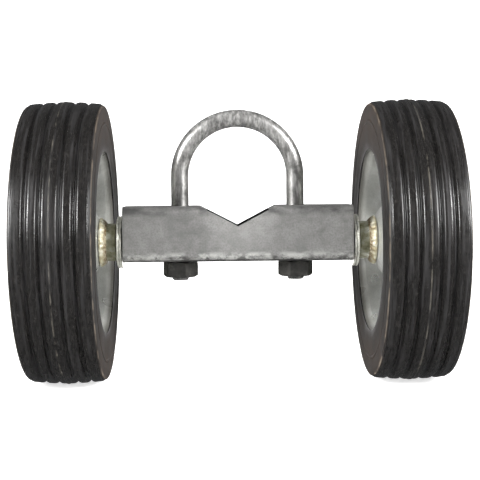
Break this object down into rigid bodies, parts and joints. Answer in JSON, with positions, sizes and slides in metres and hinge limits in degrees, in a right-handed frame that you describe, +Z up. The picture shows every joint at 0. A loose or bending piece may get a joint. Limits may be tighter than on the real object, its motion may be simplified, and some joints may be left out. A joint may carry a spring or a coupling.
{
  "type": "gate wheel carrier",
  "caption": "Wheeled carrier for a rolling gate: a V-notched square tube with a U-bolt clamp, between solid rubber wheels on stub axles.",
  "frame": {"origin": "midway along the line of the two axles, which is the centre of the object's box", "axes": "+X along the axles, +Y the way the gate rolls and its rail runs, +Z up, out of the V and towards the U-bolt's bend"},
  "size_m": [0.3244, 0.2, 0.2],
  "materials": {
    "galvanised_tube": "hot-dip galvanised, dull grey",
    "zinc_rod": "galvanised rod, worn bright and dark",
    "dark_nut": "plain dark steel",
    "axle_bar": "drawn steel bar",
    "weld_metal": "weld bead, heat tinted under zinc",
    "zinc_washer": "zinc plated",
    "tyre_rubber": "moulded black rubber",
    "hub_steel": "zinc plated tube with weld stain",
    "disc_zinc": "bright zinc plated pressing",
    "bush_bronze": "oil-filled sintered bronze"
  },
  "bodies": {
    "carrier": {"carrier_tube": "galvanised_tube", "end_plate_left": "galvanised_tube", "stub_axle_left": "axle_bar", "axle_weld_front_left": "weld_metal", "axle_weld_rear_left": "weld_metal", "thrust_washer_a_left": "zinc_washer", "thrust_washer_b_left": "zinc_washer", "outer_washer_left": "zinc_washer", "split_pin_left": "zinc_washer", "end_plate_right": "galvanised_tube", "stub_axle_right": "axle_bar", "axle_weld_front_right": "weld_metal", "axle_weld_rear_right": "weld_metal", "thrust_washer_a_right": "zinc_washer", "thrust_washer_b_right": "zinc_washer", "outer_washer_right": "zinc_washer", "split_pin_right": "zinc_washer"},
    "left_wheel": {"tyre_left": "tyre_rubber", "hub_tube_left": "hub_steel", "disc_inner_left": "disc_zinc", "disc_outer_left": "disc_zinc", "hub_weld_inner_left": "weld_metal", "hub_weld_outer_left": "weld_metal", "bush_inner_left": "bush_bronze", "bush_outer_left": "bush_bronze"},
    "right_wheel": {"tyre_right": "tyre_rubber", "hub_tube_right": "hub_steel", "disc_inner_right": "disc_zinc", "disc_outer_right": "disc_zinc", "hub_weld_inner_right": "weld_metal", "hub_weld_outer_right": "weld_metal", "bush_inner_right": "bush_bronze", "bush_outer_right": "bush_bronze"},
    "u_bolt": {"u_bolt": "zinc_rod"},
    "left_nut": {"hex_nut_left": "dark_nut"},
    "right_nut": {"hex_nut_right": "dark_nut"}
  },
  "joints": [
    {"name": "left_wheel_spin", "type": "hinge", "parent": "carrier", "child": "left_wheel", "pos_m": [-0.1198, 0, 0], "axis": [1, 0, 0], "continuous": true},
    {"name": "right_wheel_spin", "type": "hinge", "parent": "carrier", "child": "right_wheel", "pos_m": [0.1198, 0, 0], "axis": [1, 0, 0], "continuous": true},
    {"name": "left_nut_turn", "type": "hinge", "parent": "carrier", "child": "left_nut", "pos_m": [-0.0411, 0, -0.0195], "axis": [0, 0, 1], "range_deg": [0, 3686]},
    {"name": "right_nut_turn", "type": "hinge", "parent": "carrier", "child": "right_nut", "pos_m": [0.0411, 0, -0.0195], "axis": [0, 0, 1], "range_deg": [0, 3686]},
    {"name": "u_bolt_clamp", "type": "slide", "parent": "carrier", "child": "u_bolt", "axis": [0, 0, -1], "range_m": [0, 0.02]}
  ],
  "couplings": [
    {"joint": "left_nut_turn", "follows": "u_bolt_clamp", "rad_per_m": 3215.8},
    {"joint": "right_nut_turn", "follows": "u_bolt_clamp", "rad_per_m": 3215.8}
  ]
}
